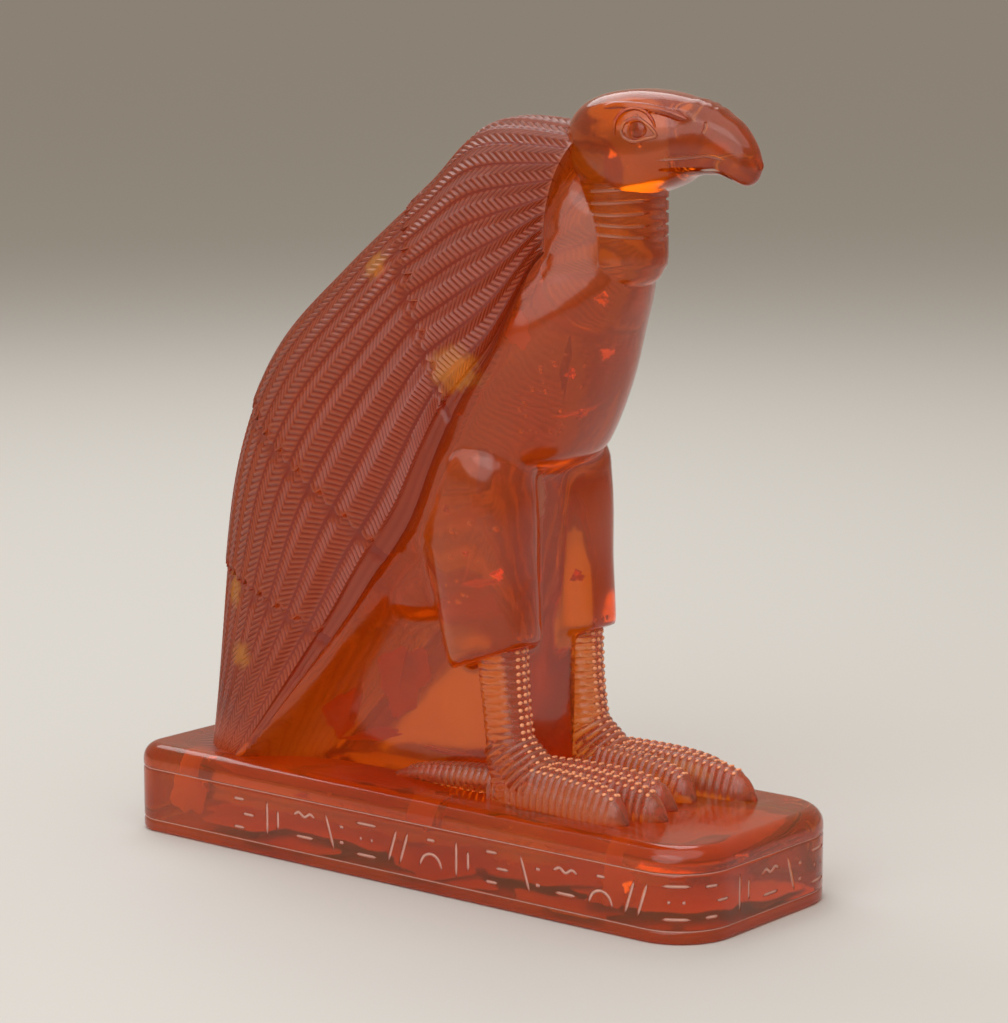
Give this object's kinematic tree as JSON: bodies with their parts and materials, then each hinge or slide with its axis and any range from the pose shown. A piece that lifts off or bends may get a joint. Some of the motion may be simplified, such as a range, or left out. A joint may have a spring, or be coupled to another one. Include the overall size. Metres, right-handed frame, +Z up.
{
  "type": "nekhbet vulture statue",
  "caption": "Carved see-through amber vulture with folded feathered wings, bare wrinkled neck and scaled feet, standing on a long low plinth with rounded corners.",
  "frame": {"origin": "on the underside of the plinth, at the middle of its length and width", "axes": "+Z up, the bird looks along -Y, +X is the bird's left hand side"},
  "size_m": [0.052, 0.147, 0.1581],
  "materials": {
    "amber": "clear orange-red amber, polished on the body and plinth, frosted in the carved feathers and scales"
  },
  "bodies": {
    "root": {"vulture_statue": "amber"}
  },
  "joints": []
}
